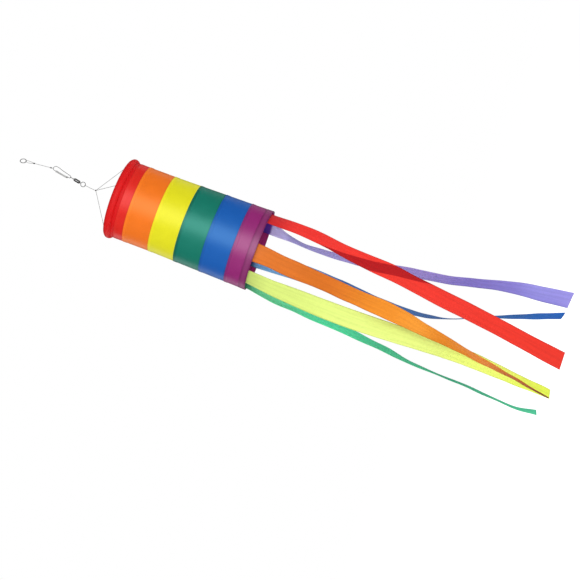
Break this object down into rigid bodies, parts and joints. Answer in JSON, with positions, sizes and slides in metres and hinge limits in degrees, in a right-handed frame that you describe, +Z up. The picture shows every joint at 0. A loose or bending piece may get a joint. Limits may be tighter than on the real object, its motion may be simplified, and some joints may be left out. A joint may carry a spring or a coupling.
{
  "type": "windsock",
  "caption": "Hanging cloth windsock: a rainbow-banded tube on a rolled hoop, ribbon tails sewn inside its tail hem, a cord bridle, a barrel swivel, a snap and a hang ring.",
  "frame": {"origin": "top of the hang ring, where a hook or a pole arm holds it", "axes": "+Z up along the cloth tube, from its tail to its mouth and hang ring; -Y is the side that faces the viewer"},
  "size_m": [0.2478, 0.2319, 1.0956],
  "materials": {
    "black_nickel": "dark polished nickel wire",
    "sheet_metal": "satin sheet metal",
    "cord": "twisted white polyester cord",
    "hoop_plastic": "matte",
    "cloth_red": "nylon taffeta",
    "cloth_orange": "nylon taffeta",
    "cloth_yellow": "nylon taffeta",
    "cloth_green": "nylon taffeta",
    "cloth_blue": "nylon taffeta",
    "cloth_purple": "nylon taffeta",
    "ribbon_red": "ribbed ribbon",
    "ribbon_orange": "ribbed ribbon",
    "ribbon_lime": "ribbed ribbon",
    "ribbon_green": "ribbed ribbon",
    "ribbon_blue": "ribbed ribbon",
    "ribbon_lavender": "ribbed ribbon"
  },
  "bodies": {
    "hanger": {"hang_ring": "black_nickel"},
    "line": {"line_eye_upper": "cord", "line_crimp_upper": "black_nickel", "hang_line": "cord", "line_crimp_lower": "black_nickel", "line_eye_lower": "cord"},
    "snap": {"snap_frame": "black_nickel", "snap_pin": "black_nickel"},
    "gate": {"snap_gate": "sheet_metal"},
    "swivel_top": {"swivel_eye_upper": "black_nickel"},
    "barrel": {"swivel_barrel": "black_nickel"},
    "swivel_bottom": {"swivel_eye_lower": "black_nickel"},
    "sock": {"bridle_lead": "cord", "bridle_knot": "cord", "bridle_line_1": "cord", "bridle_line_2": "cord", "bridle_line_3": "cord", "bridle_anchor_1": "cord", "bridle_anchor_2": "cord", "bridle_anchor_3": "cord", "mouth_hoop": "hoop_plastic", "mouth_hem": "cloth_red", "band_red": "cloth_red", "band_orange": "cloth_orange", "band_yellow": "cloth_yellow", "band_green": "cloth_green", "band_blue": "cloth_blue", "band_purple": "cloth_purple", "tail_stiffener": "hoop_plastic", "tail_facing": "cloth_purple", "ribbon_red_root": "ribbon_red", "ribbon_orange_root": "ribbon_orange", "ribbon_lime_root": "ribbon_lime", "ribbon_green_root": "ribbon_green", "ribbon_blue_root": "ribbon_blue", "ribbon_lavender_root": "ribbon_lavender"},
    "red_tail": {"ribbon_red": "ribbon_red"},
    "orange_tail": {"ribbon_orange": "ribbon_orange"},
    "lime_tail": {"ribbon_lime": "ribbon_lime"},
    "green_tail": {"ribbon_green": "ribbon_green"},
    "blue_tail": {"ribbon_blue": "ribbon_blue"},
    "lavender_tail": {"ribbon_lavender": "ribbon_lavender"}
  },
  "joints": [
    {"name": "line_swing", "type": "hinge", "parent": "hanger", "child": "line", "pos_m": [0.00257, 0, -0.01208], "axis": [0.6917, 0.7071, 0.147], "range_deg": [-60, 60]},
    {"name": "snap_swing", "type": "hinge", "parent": "line", "child": "snap", "pos_m": [0.00835, 0, -0.06708], "axis": [0, 1, 0], "range_deg": [-40, 40]},
    {"name": "gate_open", "type": "hinge", "parent": "snap", "child": "gate", "pos_m": [0.00149, 0, -0.09666], "axis": [0, -1, 0], "range_deg": [0, 30]},
    {"name": "swivel_swing", "type": "hinge", "parent": "snap", "child": "swivel_top", "pos_m": [0.00375, 0, -0.1045], "axis": [0.9925, 0, -0.1219], "range_deg": [-40, 40]},
    {"name": "barrel_spin", "type": "hinge", "parent": "swivel_top", "child": "barrel", "pos_m": [0.00375, 0, -0.1045], "axis": [0.1564, 0, 0.9877], "continuous": true},
    {"name": "eye_spin", "type": "hinge", "parent": "barrel", "child": "swivel_bottom", "pos_m": [0.00375, 0, -0.1045], "axis": [0.1564, 0, 0.9877], "continuous": true},
    {"name": "bridle_swing", "type": "hinge", "parent": "swivel_bottom", "child": "sock", "pos_m": [-0.00122, 0, -0.1359], "axis": [0.9877, 0, -0.1564], "range_deg": [-45, 45]},
    {"name": "red_swing", "type": "hinge", "parent": "sock", "child": "red_tail", "pos_m": [0.06378, -0.04142, -0.49525], "axis": [-0.5446, -0.8387, 0], "range_deg": [0, 60]},
    {"name": "orange_swing", "type": "hinge", "parent": "sock", "child": "orange_tail", "pos_m": [-0.00729, -0.0757, -0.49525], "axis": [-0.9954, 0.0958, 0], "range_deg": [0, 60]},
    {"name": "lime_swing", "type": "hinge", "parent": "sock", "child": "lime_tail", "pos_m": [-0.05607, -0.05138, -0.49525], "axis": [-0.6756, 0.7373, 0], "range_deg": [0, 60]},
    {"name": "green_swing", "type": "hinge", "parent": "sock", "child": "green_tail", "pos_m": [-0.07233, 0.0235, -0.49525], "axis": [0.309, 0.9511, 0], "range_deg": [0, 60]},
    {"name": "blue_swing", "type": "hinge", "parent": "sock", "child": "blue_tail", "pos_m": [-0.01581, 0.07439, -0.49525], "axis": [0.9781, 0.2079, 0], "range_deg": [0, 60]},
    {"name": "lavender_swing", "type": "hinge", "parent": "sock", "child": "lavender_tail", "pos_m": [0.05187, 0.05562, -0.49525], "axis": [0.7314, -0.682, 0], "range_deg": [0, 60]}
  ]
}
